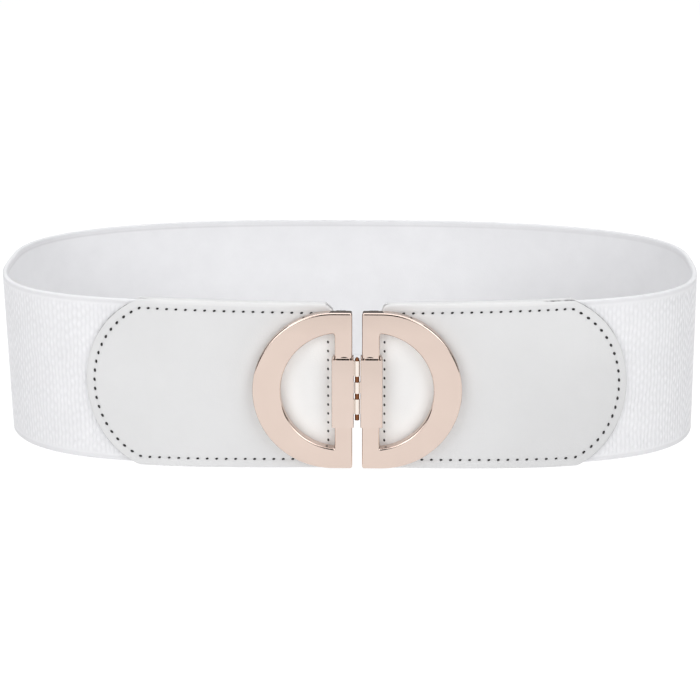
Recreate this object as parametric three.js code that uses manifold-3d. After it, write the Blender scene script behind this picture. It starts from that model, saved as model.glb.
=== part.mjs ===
// Elastic stretch belt, closed, standing on its lower edge as an open loop.
//
// A wide elastic webbing runs round the waist. Each of its ends is sewn into a leather tab with a
// round end, and each tab is folded over a bar at the back of a half-round metal frame. The two
// frames stand back to back in front, and a sleeve on the straight bar of each carries hinge
// knuckles that a pin holds together.
//
// Millimetres, +Z up. The front of the belt faces -Y and its right end is +X. The origin is under
// the middle of the whole part, on the surface that it stands on.

import * as THREE from "three";
import { mergeVertices } from "three/addons/utils/BufferGeometryUtils.js";
import Module from "manifold-3d";

const wasm = await Module();
wasm.setup();

// The loop, seen from above, measured to the middle of the webbing's thickness
const LOOP_HALF_WIDTH = 130.2;
const LOOP_FRONT_DEPTH = 79;
const LOOP_BACK_DEPTH = 70.5;
const LOOP_FRONT_SQUARENESS = 3.25; // 2 is an ellipse, more is flatter with tighter corners
const LOOP_BACK_SQUARENESS = 2.55;
const CLASP_SHIFT = 4.2; // the clasp stands this far to the right of the loop's middle
const PLAN_SAMPLES = 2880;

// Elastic webbing
const WEBBING_WIDTH = 60;
const WEBBING_THICKNESS = 1.8;
const WEBBING_EDGE = 0.4; // how far its long edges are rounded off
const WEBBING_STEP = 5; // longest stretch of webbing between two sections
const WEBBING_TUCK = 9; // from the neck of a tab to where the webbing ends inside it
const WEBBING_SETTLE = 60; // stretch past a tab in which the webbing comes down to the surface

// Leather tabs, each one strip folded over its frame's rear bar
const LEATHER_THICKNESS = 1.1;
const LEATHER_EDGE = 0.3;
const TAB_LENGTH = 97.7; // from the seam of the clasp to the tip
const TAB_MARGIN = 0.6; // how far the leather stands past each edge of the webbing
const TAB_TIP_FLATNESS = 1.4; // how much larger the tip's radius is than half the tab's width
const TAB_TAPER = 1.1; // how far each edge draws in from the round tip to the neck
const TAB_SHOULDER = 6; // length of the stretch that widens from the neck
const TAB_SHOULDER_POWER = 5; // more makes the shoulder squarer
const TAB_STEP = 4; // longest straight stretch of a tab between two sections
const SHOULDER_STEPS = 8;
const TIP_STEPS = 9;
const TIP_END_ANGLE = THREE.MathUtils.degToRad(4); // where the round tip is closed off
const FOLD_START = 1.8; // from the seam to the fold
const FOLD_STEPS = 8;
const POCKET_CLEARANCE = 0.2; // between the webbing and the leather on each side of it

// Half-round frames
const FRAME_THICKNESS = 4.6;
const FRAME_BEVEL = 0.8;
const FRAME_FACE_RADIUS = 27.6;
const FRAME_FACE_STRAIGHT = 6.05; // straight stretch from the seam side to the half circle
const FRAME_BAND = 8.4; // flat of the band at the far side
const FRAME_BAR = 4.6; // flat of the straight bar
const HOLE_HEIGHT = 43;
const HOLE_CORNER = 2;
const FRAME_LIFT = 0.3; // from the leather to the back of the frame
const ARC_SEGMENTS = 36;

// Bar and posts behind each frame
const REAR_BAR_WIDTH = 3.6;
const REAR_BAR_CLEARANCE = 0.3; // between the bar and the leather round it
const POST_CLEARANCE = 0.4; // between a post and the leather's neck
const POST_HEIGHT = 1.8;

// Clasp sleeves, one round the bar of each frame
const SLEEVE_HEIGHT = 24.5;
const SLEEVE_PROUD = 0.9; // how far it stands in front of the frame
const SLEEVE_SEAM_PROUD = 0.45; // how far it stands past the bar towards the seam
const SLEEVE_HOLE_PROUD = 1; // how far it stands past the bar into the frame's hole
const SLEEVE_WALL = 0.9;
const SLEEVE_CORNER = 1;
const SLEEVE_BEVEL = 0.3;
const SLEEVE_CLEARANCE = 0.25; // between the sleeve and the bar inside it
const CORNER_SEGMENTS = 4;

// Hinge between the sleeves
const PIN_DIAMETER = 1.4;
const PIN_CLEARANCE = 0.1;
const KNUCKLE_WALL = 0.3;
const KNUCKLE_CLEARANCE = 0.15; // between a knuckle and the other sleeve
const KNUCKLE_SINK = 0.2; // from the sleeves' front to the knuckles
const KNUCKLE_WEB = 1.2; // thickness of the web that joins a knuckle to its sleeve
const ROUND_SIDES = 16;

// Heights of the knuckles and of the pin, as shares of half the sleeve's height from its middle
const KNUCKLES = [
  { side: -1, top: 0.947, bottom: 0.482 },
  { side: 1, top: 0.318, bottom: -0.033 },
  { side: -1, top: -0.188, bottom: -0.629 },
];
const PIN_SPAN = { top: 1.11, bottom: -0.79 };

// Depths worked out from the sizes above, outward from the middle of the webbing
const POCKET_HALF = WEBBING_THICKNESS / 2 + POCKET_CLEARANCE;
const LEATHER_MIDDLE = POCKET_HALF + LEATHER_THICKNESS / 2;
const LEATHER_FACE = POCKET_HALF + LEATHER_THICKNESS;
const FRAME_BACK = LEATHER_FACE + FRAME_LIFT;
const FRAME_FRONT = FRAME_BACK + FRAME_THICKNESS;
const SLEEVE_FRONT = FRAME_FRONT + SLEEVE_PROUD;
const KNUCKLE_RADIUS = PIN_DIAMETER / 2 + PIN_CLEARANCE + KNUCKLE_WALL;
const HINGE_DEPTH = SLEEVE_FRONT - KNUCKLE_SINK - KNUCKLE_RADIUS;

// Distances worked out from the seam, along the loop
const SLEEVE_START = KNUCKLE_RADIUS + KNUCKLE_CLEARANCE;
const BAR_START = SLEEVE_START + SLEEVE_SEAM_PROUD;
const BAR_END = BAR_START + FRAME_BAR + 2 * FRAME_BEVEL;
const SLEEVE_END = BAR_END + SLEEVE_HOLE_PROUD;
const FOLD_CENTRE = FOLD_START + LEATHER_FACE;
const REAR_BAR_END = FOLD_CENTRE + REAR_BAR_WIDTH;
const TAB_NECK_LENGTH = REAR_BAR_END + POST_CLEARANCE;
const WEBBING_END = TAB_NECK_LENGTH + WEBBING_TUCK;

// Heights worked out from the middle of the tabs
const TAB_HALF = WEBBING_WIDTH / 2 + TAB_MARGIN;
const TIP_RADIUS = TAB_HALF + TAB_TIP_FLATNESS;
const TIP_CENTRE = TAB_LENGTH - TIP_RADIUS;
const POST_START = FRAME_FACE_RADIUS - POST_HEIGHT;
const NECK_HALF = POST_START - POST_CLEARANCE;
const CENTRE_HEIGHT = Math.max(TAB_HALF, FRAME_FACE_RADIUS + FRAME_BEVEL);

// How far the plan moves back so that the whole part is centred on the origin
const FRONT_REACH = LOOP_FRONT_DEPTH + SLEEVE_FRONT;
const BACK_REACH = LOOP_BACK_DEPTH + WEBBING_THICKNESS / 2;
const PLAN_SHIFT = (FRONT_REACH - BACK_REACH) / 2;

// One point of the loop's plan at an angle round it, where a quarter turn back is the front
function planPoint(angle) {
  const cos = Math.cos(angle);
  const sin = Math.sin(angle);
  const depth = sin < 0 ? LOOP_FRONT_DEPTH : LOOP_BACK_DEPTH;
  const squareness = sin < 0 ? LOOP_FRONT_SQUARENESS : LOOP_BACK_SQUARENESS;
  const power = 2 / squareness;
  return new THREE.Vector2(
    LOOP_HALF_WIDTH * Math.sign(cos) * Math.abs(cos) ** power,
    depth * Math.sign(sin) * Math.abs(sin) ** power + PLAN_SHIFT,
  );
}

// The plan as a table of points with their length along the loop from the middle of its front
function measurePlan(samples) {
  const points = [];
  for (let i = 0; i <= samples; i++) {
    points.push(planPoint(-Math.PI / 2 + (2 * Math.PI * i) / samples));
  }
  const lengths = [0];
  for (let i = 1; i <= samples; i++) {
    lengths.push(lengths[i - 1] + points[i].distanceTo(points[i - 1]));
  }
  return { points, lengths, total: lengths[samples] };
}

const PLAN = measurePlan(PLAN_SAMPLES);

// Point and outward normal at a length along the loop: positive to the right of the seam
function planAt(along) {
  const { points, lengths, total } = PLAN;
  const wanted = (((along + CLASP_SHIFT) % total) + total) % total;
  let low = 0;
  let high = lengths.length - 1;
  while (high - low > 1) {
    const middle = (low + high) >> 1;
    if (lengths[middle] <= wanted) low = middle;
    else high = middle;
  }
  const share = (wanted - lengths[low]) / (lengths[high] - lengths[low]);
  const point = points[low].clone().lerp(points[high], share);
  const ahead = points[high].clone().sub(points[low]).normalize();
  return { point, normal: new THREE.Vector2(ahead.y, -ahead.x) };
}

// A point in space from a length along the loop, a depth outward and a height
function place(along, depth, height) {
  const { point, normal } = planAt(along);
  return new THREE.Vector3(point.x + normal.x * depth, point.y + normal.y * depth, height);
}

// A closed body through rings of points, all with as many points, with a flat cap at each end
function loft(rings) {
  const count = rings[0].length;
  const positions = rings.flat().flatMap((p) => [p.x, p.y, p.z]);
  const index = [];
  for (let r = 0; r + 1 < rings.length; r++) {
    for (let k = 0; k < count; k++) {
      const a = r * count + k;
      const b = r * count + ((k + 1) % count);
      index.push(a, b, b + count, a, b + count, a + count);
    }
  }
  const last = (rings.length - 1) * count;
  for (let k = 1; k + 1 < count; k++) {
    index.push(0, k + 1, k);
    index.push(last, last + k, last + k + 1);
  }
  const geometry = new THREE.BufferGeometry();
  geometry.setAttribute("position", new THREE.Float32BufferAttribute(positions, 3));
  geometry.setIndex(index);
  return facedOut(geometry);
}

// Six times the volume inside a closed indexed geometry, negative when its faces point in
function signedVolume(geometry) {
  const position = geometry.getAttribute("position");
  const index = geometry.getIndex();
  const [a, b, c] = [new THREE.Vector3(), new THREE.Vector3(), new THREE.Vector3()];
  let sum = 0;
  for (let i = 0; i < index.count; i += 3) {
    a.fromBufferAttribute(position, index.getX(i));
    b.fromBufferAttribute(position, index.getX(i + 1));
    c.fromBufferAttribute(position, index.getX(i + 2));
    sum += a.dot(b.cross(c));
  }
  return sum;
}

// The same body with its faces pointing out
function facedOut(geometry) {
  if (signedVolume(geometry) > 0) return geometry;
  const index = geometry.getIndex();
  for (let i = 0; i < index.count; i += 3) {
    const second = index.getX(i + 1);
    index.setX(i + 1, index.getX(i + 2));
    index.setX(i + 2, second);
  }
  return geometry;
}

// Eight corners of a flat strip's section: half its thickness and half its width, edges cut off
function stripSection(halfThickness, halfWidth, edge) {
  const thin = halfThickness - edge;
  const narrow = halfWidth - edge;
  return [
    [halfThickness, -narrow],
    [halfThickness, narrow],
    [thin, halfWidth],
    [-thin, halfWidth],
    [-halfThickness, narrow],
    [-halfThickness, -narrow],
    [-thin, -halfWidth],
    [thin, -halfWidth],
  ];
}

// A closed solid from a closed geometry, for joining and cutting
function solidOf(geometry) {
  const bare = geometry.clone();
  bare.deleteAttribute("normal");
  bare.deleteAttribute("uv");
  const merged = mergeVertices(bare, 1e-4);
  return new wasm.Manifold(
    new wasm.Mesh({
      numProp: 3,
      vertProperties: new Float32Array(merged.getAttribute("position").array),
      triVerts: new Uint32Array(merged.getIndex().array),
    }),
  );
}

// A geometry from a solid
function geometryOf(solid) {
  const mesh = solid.getMesh();
  const geometry = new THREE.BufferGeometry();
  geometry.setAttribute("position", new THREE.BufferAttribute(mesh.vertProperties, 3));
  geometry.setIndex(new THREE.BufferAttribute(mesh.triVerts, 1));
  return geometry;
}

// Height of the webbing's middle: centred on the tabs, then down on the surface past them
function webbingMiddle(distance) {
  const past = THREE.MathUtils.smoothstep(distance, TIP_CENTRE, TAB_LENGTH + WEBBING_SETTLE);
  return THREE.MathUtils.lerp(CENTRE_HEIGHT, WEBBING_WIDTH / 2, past);
}

// Half the webbing's width: inside a tab it draws in with the tab's edges
function webbingHalfWidth(distance) {
  if (distance >= TIP_CENTRE) return WEBBING_WIDTH / 2;
  return Math.min(tabHalfWidth(distance) - TAB_MARGIN, WEBBING_WIDTH / 2);
}

// Elastic webbing, from inside one tab round the back to inside the other
function webbing() {
  const start = WEBBING_END;
  const end = PLAN.total - WEBBING_END;
  const steps = Math.ceil((end - start) / WEBBING_STEP);
  const rings = [];
  for (let i = 0; i <= steps; i++) {
    const along = THREE.MathUtils.lerp(start, end, i / steps);
    const distance = Math.min(along, PLAN.total - along);
    const middle = webbingMiddle(distance);
    const half = webbingHalfWidth(distance);
    const section = stripSection(WEBBING_THICKNESS / 2, half, WEBBING_EDGE);
    rings.push(section.map(([depth, up]) => place(along, depth, middle + up)));
  }
  return loft(rings);
}

// Half the tab's width at a distance from the seam: neck, shoulder, tapered stretch, round tip
function tabHalfWidth(distance) {
  const past = THREE.MathUtils.clamp((distance - TAB_NECK_LENGTH) / TAB_SHOULDER, 0, 1);
  const rise = 1 - (1 - past) ** TAB_SHOULDER_POWER;
  const ahead = Math.max(TIP_CENTRE - Math.max(distance, TAB_NECK_LENGTH), 0);
  const taper = (TAB_TAPER * ahead) / (TIP_CENTRE - TAB_NECK_LENGTH);
  const straight = THREE.MathUtils.lerp(NECK_HALF, TAB_HALF - taper, rise);
  if (distance <= TIP_CENTRE) return straight;
  const tip = Math.sqrt(Math.max(TIP_RADIUS ** 2 - (distance - TIP_CENTRE) ** 2, 0));
  return Math.min(straight, tip);
}

// Distances from the seam at which the tab has a section, from its fold to its tip
function tabStations() {
  const tipAngle = Math.asin(TAB_HALF / TIP_RADIUS);
  const straightEnd = TIP_CENTRE + TIP_RADIUS * Math.cos(tipAngle);
  const shoulderEnd = TAB_NECK_LENGTH + TAB_SHOULDER;
  const steps = Math.ceil((straightEnd - shoulderEnd) / TAB_STEP);
  const stations = [FOLD_CENTRE];
  for (let i = 0; i < SHOULDER_STEPS; i++) {
    stations.push(TAB_NECK_LENGTH + TAB_SHOULDER * (i / SHOULDER_STEPS) ** 2);
  }
  for (let i = 0; i < steps; i++) {
    stations.push(THREE.MathUtils.lerp(shoulderEnd, straightEnd, i / steps));
  }
  for (let i = 0; i <= TIP_STEPS; i++) {
    const angle = THREE.MathUtils.lerp(tipAngle, TIP_END_ANGLE, i / TIP_STEPS);
    stations.push(TIP_CENTRE + TIP_RADIUS * Math.cos(angle));
  }
  return stations;
}

// One leather tab: outer layer, fold round the rear bar and inner layer, all one strip
function leatherTab(side) {
  const stations = tabStations();
  const path = [];
  for (const distance of stations.toReversed()) {
    path.push({ distance, depth: LEATHER_MIDDLE, turn: 0 });
  }
  for (let i = 1; i < FOLD_STEPS; i++) {
    const turn = (Math.PI * i) / FOLD_STEPS;
    path.push({
      distance: FOLD_CENTRE - LEATHER_MIDDLE * Math.sin(turn),
      depth: LEATHER_MIDDLE * Math.cos(turn),
      turn,
    });
  }
  for (const distance of stations) {
    path.push({ distance, depth: -LEATHER_MIDDLE, turn: Math.PI });
  }
  const rings = path.map(({ distance, depth, turn }) => {
    const section = stripSection(LEATHER_THICKNESS / 2, tabHalfWidth(distance), LEATHER_EDGE);
    return section.map(([out, up]) => {
      const along = side * (distance - out * Math.sin(turn));
      return place(along, depth + out * Math.cos(turn), CENTRE_HEIGHT + up);
    });
  });
  return loft(rings);
}

// The pieces of the clasp are built to the right of the seam in the clasp's own frame: x from
// the seam, y inward from the middle of the webbing, z up from the middle of the tabs.

// A box from low to high distance, depth and height
function claspBox([lowX, highX], [lowDepth, highDepth], [lowZ, highZ]) {
  const box = new THREE.BoxGeometry(highX - lowX, highDepth - lowDepth, highZ - lowZ);
  box.translate((lowX + highX) / 2, -(lowDepth + highDepth) / 2, (lowZ + highZ) / 2);
  return solidOf(box);
}

// A solid built to the right of the seam, or its mirror image to the left of it
function onSide(solid, side) {
  return geometryOf(side > 0 ? solid : solid.mirror([1, 0, 0]));
}

// The hole in a frame's flat face: straight along the bar, round corners and one arc
function frameHole() {
  const farSide = FRAME_FACE_STRAIGHT + FRAME_FACE_RADIUS - FRAME_BAND;
  const cornerEnd = FRAME_BAR + HOLE_CORNER;
  const halfHeight = HOLE_HEIGHT / 2;
  const run = farSide - cornerEnd;
  const radius = (run ** 2 + halfHeight ** 2) / (2 * run);
  const centre = farSide - radius;
  const reach = Math.atan2(halfHeight, cornerEnd - centre);
  const hole = new THREE.Path();
  hole.moveTo(FRAME_BAR, halfHeight - HOLE_CORNER);
  hole.lineTo(FRAME_BAR, HOLE_CORNER - halfHeight);
  hole.quadraticCurveTo(FRAME_BAR, -halfHeight, cornerEnd, -halfHeight);
  hole.absarc(centre, 0, radius, -reach, reach, false);
  hole.quadraticCurveTo(FRAME_BAR, halfHeight, FRAME_BAR, halfHeight - HOLE_CORNER);
  return hole;
}

// A frame's flat face, seam side at x = 0 and half circle toward +x
function frameFace() {
  const shape = new THREE.Shape();
  shape.moveTo(0, -FRAME_FACE_RADIUS);
  shape.lineTo(FRAME_FACE_STRAIGHT, -FRAME_FACE_RADIUS);
  shape.absarc(FRAME_FACE_STRAIGHT, 0, FRAME_FACE_RADIUS, -Math.PI / 2, Math.PI / 2, false);
  shape.lineTo(0, FRAME_FACE_RADIUS);
  shape.closePath();
  shape.holes.push(frameHole());
  return shape;
}

// One frame: bevelled plate, slimmer bar inside the sleeve, and the posts and bar behind it
function frame(side) {
  const plate = new THREE.ExtrudeGeometry(frameFace(), {
    depth: FRAME_THICKNESS - 2 * FRAME_BEVEL,
    bevelThickness: FRAME_BEVEL,
    bevelSize: FRAME_BEVEL,
    bevelSegments: 1,
    curveSegments: ARC_SEGMENTS,
  });
  plate.rotateX(Math.PI / 2);
  plate.translate(BAR_START + FRAME_BEVEL, -FRAME_BACK - FRAME_BEVEL, 0);
  const notch = SLEEVE_HEIGHT / 2 + SLEEVE_CLEARANCE;
  const slim = notch + FRAME_BEVEL;
  const inset = SLEEVE_WALL + SLEEVE_CLEARANCE;
  const rearBar = POCKET_HALF - REAR_BAR_CLEARANCE;
  const rearSpan = [FOLD_CENTRE, REAR_BAR_END];
  const postDepths = [-rearBar, FRAME_BACK + FRAME_BEVEL];
  const body = solidOf(plate)
    .subtract(claspBox([0, SLEEVE_END], [0, SLEEVE_FRONT], [-notch, notch]))
    .add(
      claspBox(
        [SLEEVE_START + inset, SLEEVE_END - inset],
        [FRAME_BACK + inset, SLEEVE_FRONT - inset],
        [-slim, slim],
      ),
    )
    .add(claspBox(rearSpan, [-rearBar, rearBar], [-FRAME_FACE_RADIUS, FRAME_FACE_RADIUS]))
    .add(claspBox(rearSpan, postDepths, [POST_START, FRAME_FACE_RADIUS]))
    .add(claspBox(rearSpan, postDepths, [-FRAME_FACE_RADIUS, -POST_START]));
  return onSide(body, side);
}

// A rectangle with round corners round the origin
function roundedRectangle(width, depth, corner) {
  const [x, y] = [width / 2 - corner, depth / 2 - corner];
  const shape = new THREE.Shape();
  shape.absarc(x, -y, corner, -Math.PI / 2, 0, false);
  shape.absarc(x, y, corner, 0, Math.PI / 2, false);
  shape.absarc(-x, y, corner, Math.PI / 2, Math.PI, false);
  shape.absarc(-x, -y, corner, Math.PI, 1.5 * Math.PI, false);
  return shape;
}

// An upright round bar on the hinge's axis
function hingeRound(radius, bottom, top) {
  const bar = new THREE.CylinderGeometry(radius, radius, top - bottom, ROUND_SIDES);
  bar.rotateX(Math.PI / 2);
  bar.translate(0, -HINGE_DEPTH, (top + bottom) / 2);
  return solidOf(bar);
}

// One sleeve round the bar of its frame, with its hinge knuckles
function sleeve(side) {
  const outline = roundedRectangle(
    SLEEVE_END - SLEEVE_START - 2 * SLEEVE_BEVEL,
    SLEEVE_FRONT - FRAME_BACK - 2 * SLEEVE_BEVEL,
    SLEEVE_CORNER - SLEEVE_BEVEL,
  );
  const outer = new THREE.ExtrudeGeometry(outline, {
    depth: SLEEVE_HEIGHT - 2 * SLEEVE_BEVEL,
    bevelThickness: SLEEVE_BEVEL,
    bevelSize: SLEEVE_BEVEL,
    bevelSegments: 1,
    curveSegments: CORNER_SEGMENTS,
  });
  const half = SLEEVE_HEIGHT / 2;
  const middleX = (SLEEVE_START + SLEEVE_END) / 2;
  outer.translate(middleX, -(SLEEVE_FRONT + FRAME_BACK) / 2, SLEEVE_BEVEL - half);
  let body = solidOf(outer);
  for (const knuckle of KNUCKLES.filter((row) => row.side === side)) {
    const [bottom, top] = [knuckle.bottom * half, knuckle.top * half];
    const web = [HINGE_DEPTH - KNUCKLE_WEB / 2, HINGE_DEPTH + KNUCKLE_WEB / 2];
    body = body
      .add(hingeRound(KNUCKLE_RADIUS, bottom, top))
      .add(claspBox([PIN_DIAMETER / 2, middleX], web, [bottom, top]));
  }
  const inside = claspBox(
    [SLEEVE_START + SLEEVE_WALL, SLEEVE_END - SLEEVE_WALL],
    [FRAME_BACK + SLEEVE_WALL, SLEEVE_FRONT - SLEEVE_WALL],
    [-SLEEVE_HEIGHT, SLEEVE_HEIGHT],
  );
  const bore = hingeRound(PIN_DIAMETER / 2 + PIN_CLEARANCE, -SLEEVE_HEIGHT, SLEEVE_HEIGHT);
  return onSide(body.subtract(inside).subtract(bore), side);
}

// The pin through the knuckles
function pin() {
  const half = SLEEVE_HEIGHT / 2;
  return geometryOf(hingeRound(PIN_DIAMETER / 2, PIN_SPAN.bottom * half, PIN_SPAN.top * half));
}

// A named piece with its own material
function piece(name, geometry, colour, roughness, metalness) {
  geometry.computeVertexNormals();
  const material = new THREE.MeshStandardMaterial({ color: colour, roughness, metalness });
  const mesh = new THREE.Mesh(geometry, material);
  mesh.name = name;
  return mesh;
}

const belt = new THREE.Group();
const clasp = new THREE.Group();
clasp.position.copy(place(0, 0, CENTRE_HEIGHT));

belt.add(piece("elastic_webbing", webbing(), 0xefeef0, 0.85, 0));
for (const [side, hand] of [[-1, "left"], [1, "right"]]) {
  belt.add(piece(`${hand}_leather_tab`, leatherTab(side), 0xe6e6e7, 0.55, 0));
  clasp.add(piece(`${hand}_d_frame`, frame(side), 0xe5d0c3, 0.12, 1));
  clasp.add(piece(`${hand}_clasp_sleeve`, sleeve(side), 0xe2cec4, 0.12, 1));
}
clasp.add(piece("hinge_pin", pin(), 0xc9a893, 0.2, 1));
belt.add(clasp);

export default belt;
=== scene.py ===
# The looks of the elastic stretch belt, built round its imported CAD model. Metres, +Z up, and the
# clasp faces -Y. The belt stands closed on its lower edge, as an open loop.

import bisect
import math
import random

import bmesh
import bpy
from mathutils import Matrix, Vector, noise


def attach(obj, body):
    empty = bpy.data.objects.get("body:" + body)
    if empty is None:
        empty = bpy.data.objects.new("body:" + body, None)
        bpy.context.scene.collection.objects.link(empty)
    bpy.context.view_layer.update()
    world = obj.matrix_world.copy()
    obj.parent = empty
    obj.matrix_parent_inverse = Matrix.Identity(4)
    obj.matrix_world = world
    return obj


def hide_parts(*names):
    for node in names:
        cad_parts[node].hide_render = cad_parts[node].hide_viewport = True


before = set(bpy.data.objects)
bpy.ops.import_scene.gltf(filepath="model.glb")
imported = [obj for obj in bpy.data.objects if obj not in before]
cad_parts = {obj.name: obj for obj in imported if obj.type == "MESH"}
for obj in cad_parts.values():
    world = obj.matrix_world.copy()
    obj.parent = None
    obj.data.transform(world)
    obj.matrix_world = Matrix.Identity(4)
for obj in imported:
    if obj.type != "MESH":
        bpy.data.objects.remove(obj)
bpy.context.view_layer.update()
bpy.ops.object.select_all(action="DESELECT")

# Elastic webbing: one woven band, 60 mm wide and 1.8 mm thick, that runs from inside one leather
# tab round the back to inside the other. Its outer face is covered in small staggered ribs, its
# inner face is smooth, and a plain selvedge closes each long edge.

loop_half_width = 0.1302
loop_front_depth = 0.079
loop_back_depth = 0.0705
front_squareness = 3.25
back_squareness = 2.55
plan_shift = 0.0078
clasp_shift = 0.0042
plan_steps = 2880


def plan_point(angle):
    """A point of the loop's plan, on the middle of the webbing, at an angle round it."""
    cos, sin = math.cos(angle), math.sin(angle)
    depth = loop_front_depth if sin < 0 else loop_back_depth
    power = 2 / (front_squareness if sin < 0 else back_squareness)
    x = loop_half_width * math.copysign(abs(cos) ** power, cos)
    return Vector((x, depth * math.copysign(abs(sin) ** power, sin) + plan_shift))


plan = [plan_point(-math.pi / 2 + math.tau * i / plan_steps) for i in range(plan_steps + 1)]
plan_lengths = [0.0]
for near, far in zip(plan, plan[1:]):
    plan_lengths.append(plan_lengths[-1] + (far - near).length)
loop_length = plan_lengths[-1]


def plan_heading(i):
    """The direction of the loop at one point of the plan, from its neighbours on both sides."""
    return (plan[(i + 1) % plan_steps] - plan[(i - 1) % plan_steps]).normalized()


plan_headings = [plan_heading(i) for i in range(plan_steps + 1)]


def station(along):
    """The point and the outward normal at a length along the loop, to the right of the seam."""
    wanted = (along + clasp_shift) % loop_length
    i = min(bisect.bisect_right(plan_lengths, wanted), plan_steps) - 1
    share = (wanted - plan_lengths[i]) / (plan_lengths[i + 1] - plan_lengths[i])
    ahead = plan_headings[i].lerp(plan_headings[i + 1], share).normalized()
    return plan[i].lerp(plan[i + 1], share), Vector((ahead.y, -ahead.x))


def place(along, depth, height):
    """A point from a length along the loop, a depth outward from the webbing's middle, a height."""
    point, normal = station(along)
    return Vector((*(point + normal * depth), height))


def smoothstep(value, low, high):
    """0 below low, 1 above high and a smooth curve between them."""
    share = min(max((value - low) / (high - low), 0), 1)
    return share * share * (3 - 2 * share)


tab_neck = 0.008
tab_shoulder = 0.006
tab_neck_half = 0.0254
tab_full_half = 0.0306
tab_taper = 0.0007
tip_centre = 0.0668
tip_length = 0.0307
tip_width = 0.0328


def tab_half(distance):
    """Half a tab's width at a distance from the seam, without its round tip."""
    rise = 1 - (1 - min(max((distance - tab_neck) / tab_shoulder, 0), 1)) ** 5
    ahead = max(tip_centre - max(distance, tab_neck), 0)
    wide = tab_full_half - tab_taper * ahead / (tip_centre - tab_neck)
    return tab_neck_half + (wide - tab_neck_half) * rise


clasp_height = 0.0306
webbing_half = 0.030
webbing_face = 0.0009
webbing_end = 0.017
hidden_face = 0.00085
tab_margin = 0.0006
level_distance = 0.1577
left_lean = 0.0019
lean_start = 0.088
lean_end = 0.126
selvedge_start = 0.0285
selvedge_groove = -0.0007
ribs_start = 0.062
ribs_fade_in = 0.004
rib_pitch = 0.00172
ribbed_half = 0.028
rib_rise = 0.00008
rib_sink = 0.00022
rib_swell = 0.15
rib_sway = 0.45


def webbing_height(distance, up):
    """Height of a point of the webbing, up being its height from the middle on a full width."""
    level = smoothstep(distance, tip_centre, level_distance)
    middle = clasp_height + (webbing_half - clasp_height) * level
    half = webbing_half
    if distance < tip_centre:
        half = min(tab_half(distance) - tab_margin, webbing_half)
    return middle + up * half / webbing_half


selvedge_outer = [
    (0.0286, 0.00072),
    (0.0290, 0.00088),
    (0.0296, 0.00088),
    (0.0299, 0.00062),
    (0.0300, 0.00020),
    (0.0300, -0.00030),
    (0.0299, -0.00066),
    (0.0295, -0.00088),
]
selvedge_inner = [
    (0.0284, -webbing_face),
    (0.0278, selvedge_groove),
    (0.0272, -webbing_face),
    (0.0000, -webbing_face),
]
half_section = selvedge_outer + selvedge_inner
back_section = half_section + [(-up, depth) for up, depth in reversed(half_section[:-1])]

rib_count = round((loop_length - 2 * ribs_start) / rib_pitch)
rib_pitch = (loop_length - 2 * ribs_start) / rib_count
cells = 16
rows_in_cell = 4
cell_rows = cells * rows_in_cell
rib_cell = 2 * ribbed_half / cells
dice = random.Random(11)
rib_drift = [dice.uniform(-0.07, 0.07) for _ in range(rib_count + 1)]
rib_phase = [dice.uniform(-0.26, 0.26) for _ in range(rib_count + 1)]
grain_height = [[dice.uniform(0.15, 1.0) for _ in range(cells + 2)] for _ in range(rib_count + 1)]

plain_steps = 16
plain_length = ribs_start - webbing_end
plain_stops = [webbing_end + plain_length * i / plain_steps for i in range(plain_steps)]
webbing = bmesh.new()
webbing_painted_shading = webbing.verts.layers.float.new("rise")
webbing_map = webbing.loops.layers.uv.new("cloth")
flat_place = {}


def webbing_vert(along, up, depth, rise):
    """A vertex of the webbing that also knows where it lies on the flat band. The left end of the
    loop leans in a little towards its lower edge."""
    distance = min(along, loop_length - along)
    height = webbing_height(distance, up)
    point = place(along, depth, height)
    lean = left_lean * (1 - height / (2 * webbing_half))
    point.x += lean * smoothstep(-point.x, lean_start, lean_end)
    vert = webbing.verts.new(point)
    # rise here is the painted highlight and shade level for the colour, not the rib's height
    vert[webbing_painted_shading] = rise
    flat_place[vert] = (along, up)
    return vert


def ends_free(rib):
    """0 at the first and last rib, which join the plain webbing, and 1 a few ribs further on."""
    return min(rib, rib_count - 1 - rib, 4) / 4


def rib_vert(rib, quarter, row):
    """A vertex of the ribbed face. A rib is widest and highest where its neighbours are least, and
    its colour is painted lighter on its top and darker in its hollows, a painted highlight and shade
    that are strongest where it bends round the loop's ends."""
    up = -ribbed_half + 2 * ribbed_half * row / cell_rows
    fade = smoothstep(ribbed_half - abs(up), 0.0, 0.0012)
    turn = math.tau * (up / rib_cell + 0.5 * (rib % 2) + rib_phase[rib])
    wide = rib_swell * math.cos(turn) * fade
    grain = grain_height[rib][min(max(int(turn / math.tau + cells / 2 + 1), 0), cells + 1)]
    across = (-0.5 - wide, -0.23, 0.0, 0.23, 0.5 + wide)[quarter] + rib_drift[rib] * (quarter == 2)
    sway = rib_sway * noise.noise(Vector((140 * up, 0.3 * rib, 0.5))) * fade
    along = ribs_start + (rib + 0.5 + across + sway * ends_free(rib)) * rib_pitch
    round_rise = (0.0, 0.8, 1.0, 0.8, 0.0)[quarter]
    rise = round_rise * (0.58 + 0.42 * math.cos(turn) * grain) * fade + 0.5 * (1 - fade)
    ends = smoothstep(along, ribs_start, ribs_start + ribs_fade_in)
    ends *= smoothstep(loop_length - along, ribs_start, ribs_start + ribs_fade_in)
    rise = 0.5 + (rise - 0.5) * ends
    beside = place(along, 0, 0).x
    at_turn = smoothstep(abs(beside), 0.105, 0.125)
    # painted highlight on the rib tops and painted shade in the hollows, stronger at the loop's ends
    painted_shading = 0.5 + (rise - 0.5) * (1 + (1.3 if beside > 0 else 0.8) * at_turn)
    depth = webbing_face - rib_sink + (rib_sink + rib_rise) * rise
    return webbing_vert(along, up, depth, painted_shading)


def face_between(*corners):
    """A face through these vertices, each taken once."""
    ring = list(dict.fromkeys(corners))
    if len(ring) > 2:
        webbing.faces.new(ring)


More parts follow.
